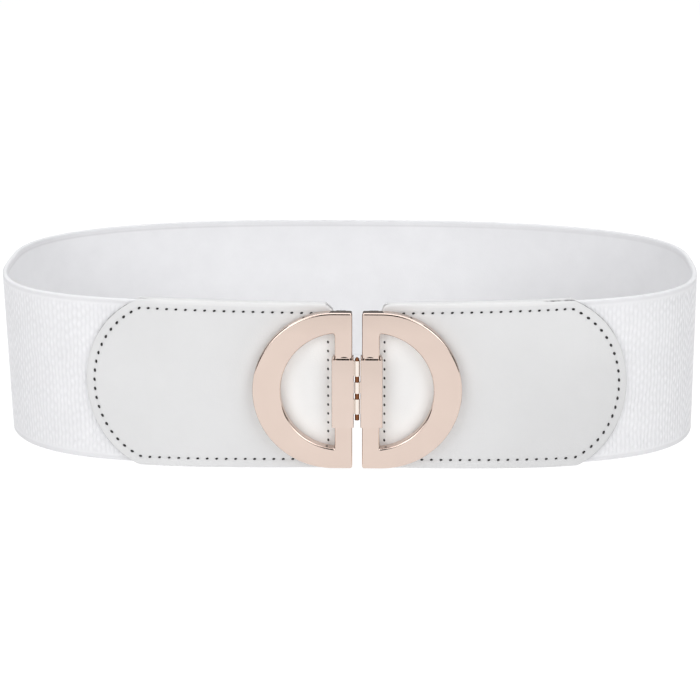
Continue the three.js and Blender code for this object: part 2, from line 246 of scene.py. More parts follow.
rib_columns = []
for rib in range(rib_count):
    for quarter in range(4):
        rib_columns.append([rib_vert(rib, quarter, row) for row in range(cell_rows + 1)])
last_rib = rib_count - 1
rib_columns.append([rib_vert(last_rib, 4, row) for row in range(cell_rows + 1)])
for left, right in zip(rib_columns, rib_columns[1:]):
    for row in range(cell_rows):
        face_between(left[row], right[row], right[row + 1], left[row + 1])


def back_ring(along):
    """The selvedges and the smooth inner face at one length along the band, top edge first. The
    inner face has painted shade below its upper edge, most of all on the right, and the selvedge
    groove and the lower selvedge are painted a little darker."""
    beside = place(along, 0, 0).x
    right = smoothstep(beside, 0.02, 0.09)
    left = smoothstep(-beside, 0.04, 0.10)
    ring = []
    for up, depth in back_section:
        # painted shade in the selvedge groove, on the lower selvedge and down the inner face
        if depth == selvedge_groove:
            painted_shading = -0.35
        elif abs(up) > selvedge_start:
            painted_shading = 0.0 if up > 0 else -0.1
        elif up > 0:
            painted_shading = 0.4 - 0.5 * right
        else:
            painted_shading = -0.85 * right - 0.27 * left
        ring.append(webbing_vert(along, up, depth, painted_shading))
    return ring


def plain_ring(along):
    """A whole section where the webbing is hidden in a tab: back, selvedges and outer face."""
    outer = [-ribbed_half + 2 * ribbed_half * i / cells for i in range(cells + 1)]
    return back_ring(along) + [webbing_vert(along, up, hidden_face, 0.5) for up in outer]


def join_rings(left, right, closed):
    """Faces between two rings of as many vertices."""
    count = len(left)
    for k in range(count if closed else count - 1):
        after = (k + 1) % count
        face_between(left[k], left[after], right[after], right[k])


left_end = [plain_ring(along) for along in plain_stops]
right_end = [plain_ring(loop_length - along) for along in reversed(plain_stops)]
for rings in (left_end, right_end):
    for left, right in zip(rings, rings[1:]):
        join_rings(left, right, closed=True)
webbing.faces.new(left_end[0])
webbing.faces.new(right_end[-1])

back_rings = [back_ring(ribs_start + rib * rib_pitch) for rib in range(rib_count + 1)]
for left, right in zip(back_rings, back_rings[1:]):
    join_rings(left, right, closed=False)
for rib in range(rib_count):
    columns = rib_columns[4 * rib : 4 * rib + 5]
    top = [column[-1] for column in columns]
    bottom = [column[0] for column in columns]
    webbing.faces.new([back_rings[rib][0], *top, back_rings[rib + 1][0]])
    webbing.faces.new([back_rings[rib][-1], back_rings[rib + 1][-1], *reversed(bottom)])
ring_size = len(back_section)
for plain, back, column in (
    (left_end[-1], back_rings[0], rib_columns[0]),
    (right_end[0], back_rings[-1], rib_columns[-1]),
):
    join_rings(plain[:ring_size], back, closed=False)
    outer = plain[ring_size:]
    face_between(plain[ring_size - 1], outer[0], column[0], back[-1])
    face_between(outer[-1], plain[0], back[0], column[-1])
    for k in range(cells):
        cell_edge = column[rows_in_cell * k : rows_in_cell * (k + 1) + 1]
        face_between(outer[k], outer[k + 1], *reversed(cell_edge))
webbing.normal_update()
bmesh.ops.recalc_face_normals(webbing, faces=webbing.faces)
for face in webbing.faces:
    face.smooth = True
    for corner in face.loops:
        corner[webbing_map].uv = flat_place[corner.vert]

webbing_mesh = bpy.data.meshes.new("webbing_band")
webbing.to_mesh(webbing_mesh)
webbing.free()
webbing_band = bpy.data.objects.new("webbing_band", webbing_mesh)
bpy.context.scene.collection.objects.link(webbing_band)


def new_material(name):
    """A material with nodes, its node tree and its Principled shader."""
    material = bpy.data.materials.new(name)
    material.use_nodes = True
    return material, material.node_tree, material.node_tree.nodes["Principled BSDF"]


def add_node(tree, kind, settings=None, inputs=None):
    """A node of that kind, with its settings and the values of its inputs."""
    node = tree.nodes.new(kind)
    for name, value in (settings or {}).items():
        setattr(node, name, value)
    for name, value in (inputs or {}).items():
        node.inputs[name].default_value = value
    return node


def link_nodes(tree, *links):
    """Links nodes: each link is a node, its output, the next node and the input there."""
    for node, output, after, entry in links:
        tree.links.new(node.outputs[output], after.inputs[entry])


# A colour Mix node has several sockets of one name, so its colours go by their numbers
mix_first = 6
mix_second = 7
mix_result = 2


def colour_mix(tree, blend_type="MIX", factor=0.5):
    """A node that mixes two colours."""
    settings = {"data_type": "RGBA", "blend_type": blend_type}
    return add_node(tree, "ShaderNodeMix", settings, {"Factor": factor})


def new_group(name, inputs, outputs):
    """An empty node group with named sockets, and its two end nodes."""
    group = bpy.data.node_groups.new(name, "ShaderNodeTree")
    for label, kind in inputs:
        group.interface.new_socket(label, in_out="INPUT", socket_type=kind)
    for label, kind in outputs:
        group.interface.new_socket(label, in_out="OUTPUT", socket_type=kind)
    return group, group.nodes.new("NodeGroupInput"), group.nodes.new("NodeGroupOutput")


def place_group(tree, group, inputs):
    """The group placed in a material with this material's own values."""
    node = tree.nodes.new("ShaderNodeGroup")
    node.node_tree = group
    for name, value in inputs.items():
        node.inputs[name].default_value = value
    return node


# cloudy_tone: a soft uneven tone between two colours, with a roughness that follows it
cloudy_tone, tone_in, tone_out = new_group(
    "cloudy_tone",
    [
        ("Vector", "NodeSocketVector"),
        ("Scale", "NodeSocketFloat"),
        ("Dark", "NodeSocketColor"),
        ("Light", "NodeSocketColor"),
        ("Smooth", "NodeSocketFloat"),
        ("Rough", "NodeSocketFloat"),
    ],
    [("Color", "NodeSocketColor"), ("Roughness", "NodeSocketFloat")],
)
tone_noise = add_node(cloudy_tone, "ShaderNodeTexNoise", inputs={"Detail": 5.0, "Roughness": 0.6})
tone_range = add_node(cloudy_tone, "ShaderNodeMapRange", inputs={"From Min": 0.3, "From Max": 0.7})
tone_mix = colour_mix(cloudy_tone)
tone_rough = add_node(cloudy_tone, "ShaderNodeMapRange")
link_nodes(
    cloudy_tone,
    (tone_in, "Vector", tone_noise, "Vector"),
    (tone_in, "Scale", tone_noise, "Scale"),
    (tone_noise, "Fac", tone_range, "Value"),
    (tone_range, "Result", tone_mix, "Factor"),
    (tone_in, "Dark", tone_mix, mix_first),
    (tone_in, "Light", tone_mix, mix_second),
    (tone_range, "Result", tone_rough, "Value"),
    (tone_in, "Smooth", tone_rough, "To Min"),
    (tone_in, "Rough", tone_rough, "To Max"),
    (tone_mix, mix_result, tone_out, "Color"),
    (tone_rough, "Result", tone_out, "Roughness"),
)

# White elastic: painted highlight on the ribs' tops, painted shade in the hollows and down the inner
# face, and fine yarns run up the band
elastic, elastic_tree, elastic_shader = new_material("white_ribbed_elastic")
elastic_shader.inputs["Sheen Weight"].default_value = 0.12
elastic_shader.inputs["Specular IOR Level"].default_value = 0.25
cloth_map = add_node(elastic_tree, "ShaderNodeUVMap", {"uv_map": "cloth"})
elastic_tone = place_group(
    elastic_tree,
    cloudy_tone,
    {
        "Scale": 90.0,
        "Dark": (0.82, 0.82, 0.84, 1),
        "Light": (0.855, 0.855, 0.875, 1),
        "Smooth": 0.72,
        "Rough": 0.88,
    },
)
# painted highlight and shade of the ribs and inner face, from the rise attribute
painted_shading_attribute = add_node(elastic_tree, "ShaderNodeAttribute", {"attribute_name": "rise"})
painted_shading_ramp = add_node(
    elastic_tree, "ShaderNodeMapRange", {"clamp": False}, {"To Min": 0.92, "To Max": 1.04}
)
rib_painted_shading = colour_mix(elastic_tree, "MULTIPLY", 1.0)
yarn_scale = add_node(
    elastic_tree, "ShaderNodeMapping", inputs={"Scale": (3600.0, 900.0, 1.0)}
)
yarn_noise = add_node(
    elastic_tree, "ShaderNodeTexNoise", inputs={"Scale": 1.0, "Detail": 3.0, "Roughness": 0.55}
)
yarn_bump = add_node(
    elastic_tree, "ShaderNodeBump", inputs={"Strength": 0.35, "Distance": 0.0002}
)
link_nodes(
    elastic_tree,
    (cloth_map, "UV", elastic_tone, "Vector"),
    (painted_shading_attribute, "Fac", painted_shading_ramp, "Value"),
    (elastic_tone, "Color", rib_painted_shading, mix_first),
    (painted_shading_ramp, "Result", rib_painted_shading, mix_second),
    (rib_painted_shading, mix_result, elastic_shader, "Base Color"),
    (elastic_tone, "Roughness", elastic_shader, "Roughness"),
    (cloth_map, "UV", yarn_scale, "Vector"),
    (yarn_scale, "Vector", yarn_noise, "Vector"),
    (yarn_noise, "Fac", yarn_bump, "Height"),
    (yarn_bump, "Normal", elastic_shader, "Normal"),
)
webbing_mesh.materials.append(elastic)

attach(webbing_band, "root")
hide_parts("elastic_webbing")

# Leather tabs: each is one strip of smooth white leather, 1.1 mm thick, folded over the bar
# behind its frame, so that it lies on both faces of the webbing. The two layers meet at the long
# edges, end in a round tip and are held by a line of stitches that draws them in a little.

fold_centre = 0.004
leather_face = 0.0022
pocket_half = 0.0011
stitch_inset = 0.0032
stitch_pitch = 0.0034
neck_stitch_pitch = 0.00327
neck_stitch_distance = 0.00995
neck_seam_shift = 0.00038
tip_shift = {-1: 0.0, 1: -0.0005}
tip_lean = {-1: 0.0006, 1: 0.0016}
neck_groove_half = 0.0238
edge_rounding = 0.0006
groove_half_width = 0.00055
neck_groove_half_width = 0.00045
groove_depth = 0.00017
pale_hole_middle = 0.0155
pale_hole_half_width = 0.0095
pale_hole_half_height = 0.018
pale_arc_centre = 0.0085
pale_arc_radius = 0.0275
weld_distance = 2e-7


def tip_reach(turn):
    """How far the tab reaches from the middle of its tip, at an angle from the belt's line."""
    round_reach = 1 / math.hypot(math.cos(turn) / tip_length, math.sin(turn) / tip_width)
    return min(round_reach, tab_full_half / max(math.sin(turn), 1e-6))


# Each column of the tab's grid is (distance of its root on the middle line, distance and height
# of its end on the edge), from the round tip to the fold, for the upper half of one layer.
tip_steps = 60
straight_steps = 60
column_gap = 0.00085
tab_columns = []
for i in range(tip_steps + 1):
    turn = math.pi / 2 * i / tip_steps
    reach = tip_reach(turn)
    end = (tip_centre + reach * math.cos(turn), reach * math.sin(turn))
    tab_columns.append((tip_centre, *end))
straight_stops = [tip_centre - column_gap * i for i in range(1, straight_steps + 1)]
straight_stops += [0.0140, 0.0132, 0.0124, 0.0117, 0.0112, 0.0108, 0.0105, 0.0103, 0.0101]
straight_stops += [0.0099, 0.0097, 0.0094, 0.0091, 0.0088, 0.0085, 0.0082, 0.0080, 0.0070]
straight_stops += [0.0055, fold_centre]
for distance in straight_stops:
    tab_columns.append((distance, distance, tab_half(distance)))

stitch_line = []
for root, end_distance, end_height in tab_columns:
    edge, middle = Vector((end_distance, end_height)), Vector((root, 0.0))
    stitch_line.append(edge + (middle - edge).normalized() * stitch_inset)
stitch_lengths = [0.0]
for near, far in zip(stitch_line, stitch_line[1:]):
    stitch_lengths.append(stitch_lengths[-1] + (far - near).length)

# The outer face's rows as gaps from the edge, the last ones as shares of the way to the middle
face_gaps = [0.00012, 0.0003, 0.0006, 0.0011, 0.0016, 0.0020, 0.0024, 0.0027, 0.0030, 0.0034]
face_gaps += [0.0039, 0.0048, 0.0064]
middle_shares = [0.15, 0.32, 0.5, 0.68, 0.84, 1.0]
# The rim from the face to the pocket: (gap, depth) where the two layers close over the webbing's
# edge, and where the tip lies on the webbing
closed_rim = [(0.0, 0.00190), (0.0, 0.0014), (0.0, 0.0008), (0.00003, 0.0003), (0.00022, 0.00006)]
closed_rim += [(0.0004, 0.0002), (0.0005, 0.0010)]
open_rim = [(0.0, 0.00190), (0.0, 0.0016), (0.00002, 0.00135), (0.00006, 0.0012)]
open_rim += [(0.0001, 0.00104), (0.0003, 0.00102), (0.0008, 0.0011)]
pocket_gaps = [0.002, 0.0064, 0.016]


def leather_depth(gap, along_stitches, distance, height):
    """How far the tab's face stands from the webbing's middle, and how deep its groove is there."""
    drop = 0.0
    if gap < edge_rounding:
        drop = edge_rounding - math.sqrt(edge_rounding**2 - (edge_rounding - gap) ** 2)
    pull = 0.5 + 0.5 * math.cos(math.tau * along_stitches / stitch_pitch)
    groove = math.exp(-(((gap - stitch_inset) / groove_half_width) ** 2)) * (0.35 + 0.65 * pull)
    if abs(height) < neck_groove_half:
        neck_pull = 0.5 + 0.5 * math.cos(math.tau * height / neck_stitch_pitch)
        neck_gap = (distance - neck_stitch_distance) / neck_groove_half_width
        neck_line = math.exp(-(neck_gap**2))
        groove = max(groove, 0.3 * neck_line * (0.35 + 0.65 * neck_pull))
    soft_edge = 0.00010 * math.exp(-gap / 0.0012)
    return leather_face - 0.75 * drop - soft_edge - groove_depth * groove, groove


def tab_column(index, fold_turn):
    """One column: (distance, depth, height, groove) from the middle line over the rim and back."""
    root, end_distance, end_height = tab_columns[index]
    edge, middle = Vector((end_distance, end_height)), Vector((root, 0.0))
    inward, length = (middle - edge).normalized(), (middle - edge).length
    closed = smoothstep(end_distance, 0.0095, 0.0120) * (1 - smoothstep(end_distance, 0.074, 0.077))
    at_neck = 1 - smoothstep(end_distance, 0.012, 0.020)
    rows = []
    last_gap = face_gaps[-1]
    gaps = [last_gap + (length - last_gap) * share for share in reversed(middle_shares)]
    gaps += list(reversed(face_gaps))
    for gap in gaps:
        point = edge + inward * gap
        depth, groove = leather_depth(gap, stitch_lengths[index], point.x, point.y)
        rows.append((point, depth, groove))
    for (shut_gap, shut_depth), (open_gap, open_depth) in zip(closed_rim, open_rim):
        gap = open_gap + (shut_gap - open_gap) * closed
        lift = max(pocket_half - open_depth, 0) * at_neck
        depth = open_depth + lift + (shut_depth - open_depth - lift) * closed
        rows.append((edge + inward * gap, depth, 0.0))
    for gap in (*pocket_gaps, length):
        rows.append((edge + inward * gap, pocket_half, 0.0))
    cos, sin = math.cos(fold_turn), math.sin(fold_turn)
    return [(point.x - depth * sin, depth * cos, point.y, groove) for point, depth, groove in rows]


def leaned(side, distance, height):
    """Where a tab really lies: its tip reaches a little further below than above, most on the
    right, and the seams across both necks stand a little to the left."""
    tip_share = smoothstep(distance, 0.060, 0.085)
    seam_share = 1 - smoothstep(abs(distance - neck_stitch_distance), 0.0004, 0.0012)
    sideways = (tip_shift[side] - tip_lean[side] * height / tab_full_half) * tip_share
    return distance + sideways - neck_seam_shift * side * seam_share


def tip_shade(side, distance, height):
    """How dark the painted shadow of the thin gap under the tab's edge is: a broken line at the tip's
    outer quarters.
    """
    turn = math.degrees(math.atan2(height, distance - tip_centre))
    upper = smoothstep(turn, 26, 40) * smoothstep(distance, 0.064, 0.068)
    if side < 0:
        upper *= 1 - smoothstep(turn, 58, 68)
    lower = smoothstep(-turn, 28, 38) * (1 - smoothstep(-turn, 55, 68))
    broken = 0.6 + 0.4 * math.sin(0.9 * turn) * math.sin(0.37 * turn + 1)
    return max(upper, 0.6 * lower) * broken


def painted_light_share(distance, height):
    """How much painted light lifts the leather's colour against the frame's shade: most inside the
    frame's hole, less under its metal, and faintly along the outer side of its arc."""
    from_arc = math.hypot(distance - pale_arc_centre, height)
    if from_arc > pale_arc_radius:
        return 0.25 * (1 - smoothstep(from_arc, 0.0285, 0.036))
    under_metal = 1 - smoothstep(math.hypot(distance - 0.006, height), 0.019, 0.027)
    sideways = (distance - pale_hole_middle) / pale_hole_half_width
    from_middle = math.hypot(sideways, height / pale_hole_half_height)
    return under_metal * (0.55 + 0.45 * smoothstep(from_middle, 0.35, 1.0))


def lower_outer_grey(distance, height):
    """How much greyer the right tab is: most at its lower outer end."""
    return smoothstep(distance, 0.035, 0.065) * smoothstep(-height, -0.022, 0.018)


rim_row = len(middle_shares) + len(face_gaps)
fold_column = len(tab_columns) - 1
fold_steps = 10
strip = [(i, 0.0) for i in range(len(tab_columns))]
strip += [(fold_column, math.pi * i / fold_steps) for i in range(1, fold_steps)]
strip += [(i, math.pi) for i in reversed(range(len(tab_columns)))]
strip_columns = [tab_column(index, fold_turn) for index, fold_turn in strip]

# White leather: a fine even grain, a soft tone, painted shade along the stitches, a painted
# # highlight along its upper rim, painted light inside and round the frame that lifts its shade, and
# a
# # painted shadow line under the edge of each tip. The right tab's lower outer end is a little
# greyer.
leather, leather_tree, leather_shader = new_material("white_smooth_leather")
leather_shader.inputs["Specular IOR Level"].default_value = 0.4
leather_shader.inputs["Coat Roughness"].default_value = 0.35
leather_place = add_node(leather_tree, "ShaderNodeTexCoord")
leather_tone = place_group(
    leather_tree,
    cloudy_tone,
    {
        "Scale": 45.0,
        "Dark": (0.695, 0.695, 0.70, 1),
        "Light": (0.722, 0.722, 0.728, 1),
        "Smooth": 0.42,
        "Rough": 0.56,
    },
)
# painted shade along the stitches, from the groove attribute
groove_attribute = add_node(leather_tree, "ShaderNodeAttribute", {"attribute_name": "groove"})
groove_shade = add_node(
    leather_tree, "ShaderNodeMapRange", inputs={"To Min": 1.0, "To Max": 0.9}
)
groove_tint = colour_mix(leather_tree, "MULTIPLY", 1.0)
painted_light_attribute = add_node(leather_tree, "ShaderNodeAttribute", {"attribute_name": "painted_light"})
painted_light_mix = colour_mix(leather_tree)
# the colour of the painted light
painted_light_mix.inputs[mix_second].default_value = (0.97, 0.965, 0.955, 1)
# painted shadow under the edges of the tips
shade_attribute = add_node(leather_tree, "ShaderNodeAttribute", {"attribute_name": "shade"})
shade_mix = colour_mix(leather_tree)
shade_mix.inputs[mix_second].default_value = (0.05, 0.05, 0.055, 1)
grain_cells = add_node(
    leather_tree,
    "ShaderNodeTexVoronoi",
    {"feature": "SMOOTH_F1"},
    {"Scale": 2100.0, "Randomness": 1.0, "Smoothness": 0.4},
)
grain_noise = add_node(leather_tree, "ShaderNodeTexNoise", inputs={"Scale": 700.0, "Detail": 4.0})
grain_sum = add_node(leather_tree, "ShaderNodeMath", {"operation": "ADD"})
grain_bump = add_node(
    leather_tree, "ShaderNodeBump", inputs={"Strength": 0.16, "Distance": 0.0002}
)
link_nodes(
    leather_tree,
    (leather_place, "Object", leather_tone, "Vector"),
    (leather_place, "Object", grain_cells, "Vector"),
    (leather_place, "Object", grain_noise, "Vector"),
    (groove_attribute, "Fac", groove_shade, "Value"),
    (painted_light_attribute, "Fac", painted_light_mix, "Factor"),
    (leather_tone, "Color", painted_light_mix, mix_first),
    (painted_light_mix, mix_result, groove_tint, mix_first),
    (groove_shade, "Result", groove_tint, mix_second),
    (shade_attribute, "Fac", shade_mix, "Factor"),
    (groove_tint, mix_result, shade_mix, mix_first),
    (shade_mix, mix_result, leather_shader, "Base Color"),
    (leather_tone, "Roughness", leather_shader, "Roughness"),
    (grain_cells, "Distance", grain_sum, 0),
    (grain_noise, "Fac", grain_sum, 1),
    (grain_sum, "Value", grain_bump, "Height"),
    (grain_bump, "Normal", leather_shader, "Normal"),
)

tabs = {}
for side, hand in ((-1, "left"), (1, "right")):
    tab = bmesh.new()
    tab_groove = tab.verts.layers.float.new("groove")
    tab_painted_light = tab.verts.layers.float.new("painted_light")
    tab_shade = tab.verts.layers.float.new("shade")
    for half in (1, -1):
        grid = []
        for index, column in enumerate(strip_columns):
            line = []
            outer = index < len(tab_columns)
            for row, (distance, depth, height, groove) in enumerate(column):
                rise = half * height
                along = side * leaned(side, distance, rise)
                vert = tab.verts.new(place(along, depth, clasp_height + rise))
                # the groove also paints shade into the leather's colour along the stitches
                vert[tab_groove] = groove
                line.append(vert)
                if not outer:
                    continue
                if side > 0:
                    vert[tab_groove] = groove + 0.75 * lower_outer_grey(distance, rise)
                # painted light inside and round the frame, lifting its shade
                vert[tab_painted_light] = painted_light_share(distance, height)
                # a painted highlight along the tab's upper rim
                if half > 0 and rim_row - 4 <= row <= rim_row + 2:
                    rim_painted_highlight = 0.2 * smoothstep(0.080 - distance, 0, 0.012)
                    vert[tab_painted_light] = max(vert[tab_painted_light], rim_painted_highlight)
                if rim_row - 1 <= row <= rim_row + 1:
                    vert[tab_shade] = tip_shade(side, distance, rise)
            grid.append(line)
        for left, right in zip(grid, grid[1:]):
            for k in range(len(left) - 1):
                tab.faces.new((left[k], left[k + 1], right[k + 1], right[k]))
    bmesh.ops.remove_doubles(tab, verts=tab.verts, dist=weld_distance)
    bmesh.ops.recalc_face_normals(tab, faces=tab.faces)
    for face in tab.faces:
        face.smooth = True
    tab_mesh = bpy.data.meshes.new(f"{hand}_tab")
    tab.to_mesh(tab_mesh)
    tab.free()
    tab_mesh.materials.append(leather)
    tabs[hand] = bpy.data.objects.new(f"{hand}_tab", tab_mesh)
    bpy.context.scene.collection.objects.link(tabs[hand])
    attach(tabs[hand], "root")
    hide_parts(f"{hand}_leather_tab")

# Stitches: black thread sewn through both layers and the webbing, round each tab and in a line
# across its neck that closes the fold. Only short, slightly slanted ovals of it show, the largest
# ones round the tip.

stitch_length = 0.00118
stitch_width = 0.00082
stitch_height = 0.00055
stitch_sink = 0.00013
neck_margin = 0.003
neck_stitches_each_way = 7
tip_stitch_growth = 0.24
stitch_slant = math.radians(14)
ahead_step = 1e-4
stitch_spots = []
for i in range(round(stitch_lengths[-1] / stitch_pitch)):
    wanted = i * stitch_pitch
    k = bisect.bisect_right(stitch_lengths, wanted) - 1
    share = (wanted - stitch_lengths[k]) / (stitch_lengths[k + 1] - stitch_lengths[k])
    spot = stitch_line[k].lerp(stitch_line[k + 1], share)
    run = (stitch_line[k + 1] - stitch_line[k]).normalized()
    if spot.x > neck_stitch_distance + neck_margin:
        stitch_spots.append((spot, run))
        if i > 0:
            stitch_spots.append((Vector((spot.x, -spot.y)), Vector((-run.x, run.y))))
for i in range(-neck_stitches_each_way, neck_stitches_each_way + 1):
    stitch_spots.append((Vector((neck_stitch_distance, i * neck_stitch_pitch)), Vector((0.0, 1.0))))

thread, thread_tree, thread_shader = new_material("black_sewing_thread")
thread_place = add_node(thread_tree, "ShaderNodeTexCoord")
thread_tone = place_group(
    thread_tree,
    cloudy_tone,
    {
        "Scale": 2500.0,
        "Dark": (0.004, 0.004, 0.005, 1),
        "Light": (0.024, 0.022, 0.022, 1),
        "Smooth": 0.5,
        "Rough": 0.8,
    },
)
link_nodes(
    thread_tree,
    (thread_place, "Object", thread_tone, "Vector"),
    (thread_tone, "Color", thread_shader, "Base Color"),
    (thread_tone, "Roughness", thread_shader, "Roughness"),
)


def alone(piece):
    """Leaves just this piece selected and active."""
    bpy.ops.object.select_all(action="DESELECT")
    piece.select_set(True)
    bpy.context.view_layer.objects.active = piece


def join_pieces(pieces):
    """Joins these pieces into the first of them."""
    alone(pieces[0])
    for piece in pieces:
        piece.select_set(True)
    bpy.ops.object.join()


for side, hand in ((-1, "left"), (1, "right")):
    bpy.ops.object.select_all(action="DESELECT")
    bpy.ops.mesh.primitive_uv_sphere_add(segments=8, ring_count=5, radius=0.5)
    model = bpy.context.object
    copies = []
    for face_side in (1, -1):
        for spot, run in stitch_spots:
            alone(model)
            bpy.ops.object.duplicate()
            copy = bpy.context.object
            depth = face_side * (leather_face - stitch_sink)
            further = spot + run * ahead_step
            ahead_along = side * leaned(side, further.x, further.y)
            ahead = place(ahead_along, depth, clasp_height + further.y)
            centre = place(side * leaned(side, spot.x, spot.y), depth, clasp_height + spot.y)
            _, outward = station(side * spot.x)
            out = Vector((*outward, 0.0)) * face_side
            run_axis = (ahead - centre).normalized()
            run_axis.rotate(Matrix.Rotation(stitch_slant, 3, out))
            wide_axis = out.cross(run_axis)
            turn = Matrix((run_axis, wide_axis, out)).transposed().to_4x4()
            bold = 1 + tip_stitch_growth * smoothstep(spot.x, 0.070, 0.084)
            size = Matrix.Diagonal((bold * stitch_length, bold * stitch_width, stitch_height, 1.0))
            copy.matrix_world = Matrix.Translation(centre) @ turn @ size
            copies.append(copy)
    bpy.data.objects.remove(model)
    join_pieces(copies)
    stitches = bpy.context.object
    bpy.ops.object.transform_apply(location=True, rotation=True, scale=True)
    bpy.ops.object.shade_smooth()
    stitches.name = stitches.data.name = f"{hand}_stitches"
    stitches.data.materials.append(thread)
    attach(stitches, "root")

# D frames: two half-round castings, 4.6 mm thick, plated in pale rose gold and polished, with
# softly rounded edges. Behind each one, two posts carry the bar that the leather folds over, and
# its straight side is slimmer where the sleeve goes round it, with a shallow dimple above.

clasp_drop = 0.0004
clasp = place(0.0, 0.0, clasp_height - clasp_drop)
frame_back = 0.0025
frame_front = 0.0071
frame_edge = 0.0008
bar_start = 0.0017
bar_end = 0.0079
arc_centre = 0.00855
frame_radius = 0.0284
hole_centre = 0.00591
hole_radius = 0.02104
hole_corner = 0.0017
notch_bottom = -0.0129
notch_top = 0.0122
notch_margin = 0.0006
notch_front = 0.0090
hole_cut_depth = 0.012
dimple_distance = 0.00455
dimple_depth = 0.0080
dimple_radius = 0.0013
dimple_squash = 0.38
dimple_cut_depth = 0.0036
slim_start = 0.0024
slim_end = 0.0078
slim_back = 0.00365
slim_front = 0.00685
slim_bottom = -0.0133
slim_top = 0.0126
rear_bar_start = 0.0042
rear_bar_end = 0.0074
rear_bar_half = 0.0008
rear_bar_top = 0.0276
post_start = 0.0040
post_end = 0.0076
post_front = 0.0032
post_foot = 0.0258
sharp_angle = math.radians(40)


def clasp_point(distance, depth, height):
    """A point of the clasp, to the right of its seam."""
    return Vector((clasp.x + distance, clasp.y - depth, clasp.z + height))


def pick(piece, kind, test):
    """In edit mode, selects just the faces or edges that pass a test on their place and way."""
    bpy.ops.mesh.select_mode(type=kind)
    bpy.ops.mesh.select_all(action="DESELECT")
    shell = bmesh.from_edit_mesh(piece.data)
    shell.normal_update()
    if kind == "FACE":
        for face in shell.faces:
            face.select_set(test(face.calc_center_median(), face.normal))
    else:
        for edge in shell.edges:
            near, far = (vert.co for vert in edge.verts)
            edge.select_set(test((near + far) / 2, (far - near).normalized()))
    bmesh.update_edit_mesh(piece.data)


def apply_modifier(piece, kind, settings):
    """Adds one modifier with its settings and applies it."""
    alone(piece)
    modifier = piece.modifiers.new(kind.lower(), kind)
    for name, value in settings.items():
        setattr(modifier, name, value)
    bpy.ops.object.modifier_apply(modifier=modifier.name)


def cut(piece, cutter):
    """Takes the cutter's shape out of the piece, and removes the cutter."""
    apply_modifier(piece, "BOOLEAN", {"operation": "DIFFERENCE", "solver": "EXACT", "object": cutter})
    bpy.data.objects.remove(cutter)


def round_edges(piece, width, segments, clamp=True):
    """Rounds the piece's sharp edges."""
    settings = {"width": width, "segments": segments, "use_clamp_overlap": clamp}
    settings.update({"limit_method": "ANGLE", "angle_limit": sharp_angle})
    apply_modifier(piece, "BEVEL", settings)


def block(near, far, edge=0.0, segments=2):
    """A block between two corners of the clasp, with its edges rounded."""
    bpy.ops.object.select_all(action="DESELECT")
    low, high = clasp_point(*near), clasp_point(*far)
    bpy.ops.mesh.primitive_cube_add(size=1, location=(low + high) / 2)
    made = bpy.context.object
    made.scale = [abs(a - b) for a, b in zip(low, high)]
    bpy.ops.object.transform_apply(location=True, rotation=True, scale=True)
    if edge:
        bpy.ops.object.mode_set(mode="EDIT")
        bpy.ops.mesh.select_all(action="SELECT")
        bpy.ops.mesh.bevel(offset=edge, segments=segments, affect="EDGES")
        bpy.ops.object.mode_set(mode="OBJECT")
    return made


def upright_disc(centre, radius, depth, vertices):
    """A round slab that faces the front."""
    bpy.ops.object.select_all(action="DESELECT")
    bpy.ops.mesh.primitive_cylinder_add(
        vertices=vertices, radius=radius, depth=depth, location=centre, rotation=(math.pi / 2, 0, 0)
    )
    bpy.ops.object.transform_apply(location=True, rotation=True, scale=True)
    return bpy.context.object


def halve(piece, distance):
    """Cuts a piece upright at a distance from the seam and keeps what is further out."""
    alone(piece)
    bpy.ops.object.mode_set(mode="EDIT")
    bpy.ops.mesh.select_all(action="SELECT")
    bpy.ops.mesh.bisect(
        plane_co=clasp_point(distance, 0, 0), plane_no=(1, 0, 0), use_fill=True, clear_inner=True
    )
    bpy.ops.object.mode_set(mode="OBJECT")


frame_middle = (frame_back + frame_front) / 2
plate = upright_disc(
    clasp_point(arc_centre, frame_middle, 0), frame_radius, frame_front - frame_back, 200
)
halve(plate, arc_centre)
bpy.ops.object.mode_set(mode="EDIT")
pick(plate, "FACE", lambda middle, normal: normal.x < -0.99)
bpy.ops.mesh.extrude_region_move(
    TRANSFORM_OT_translate={"value": (bar_start - arc_centre, 0, 0)}
)
bpy.ops.mesh.select_all(action="SELECT")
bpy.ops.mesh.dissolve_limited(angle_limit=math.radians(0.1))
bpy.ops.object.mode_set(mode="OBJECT")

hole = upright_disc(clasp_point(hole_centre, frame_middle, 0), hole_radius, hole_cut_depth, 160)
halve(hole, bar_end)
bpy.ops.object.mode_set(mode="EDIT")
hole_side = clasp_point(bar_end, 0, 0).x
pick(
    hole,
    "EDGE",
    lambda middle, way: abs(way.y) > 0.99 and abs(middle.x - hole_side) < 1e-5,
)
bpy.ops.mesh.bevel(offset=hole_corner, segments=6, affect="EDGES")
bpy.ops.object.mode_set(mode="OBJECT")
cut(plate, hole)
round_edges(plate, frame_edge, segments=4, clamp=False)
notch_end = bar_end + notch_margin
cut(plate, block((0, 0, notch_bottom), (notch_end, notch_front, notch_top)))

notch_middle = clasp_point(dimple_distance, dimple_depth, notch_top)
dimple = upright_disc(notch_middle, dimple_radius, dimple_cut_depth, 48)
bpy.ops.object.mode_set(mode="EDIT")
bpy.ops.mesh.select_all(action="SELECT")
bpy.ops.transform.resize(value=(1, 1, dimple_squash), center_override=notch_middle)
bpy.ops.object.mode_set(mode="OBJECT")
cut(plate, dimple)

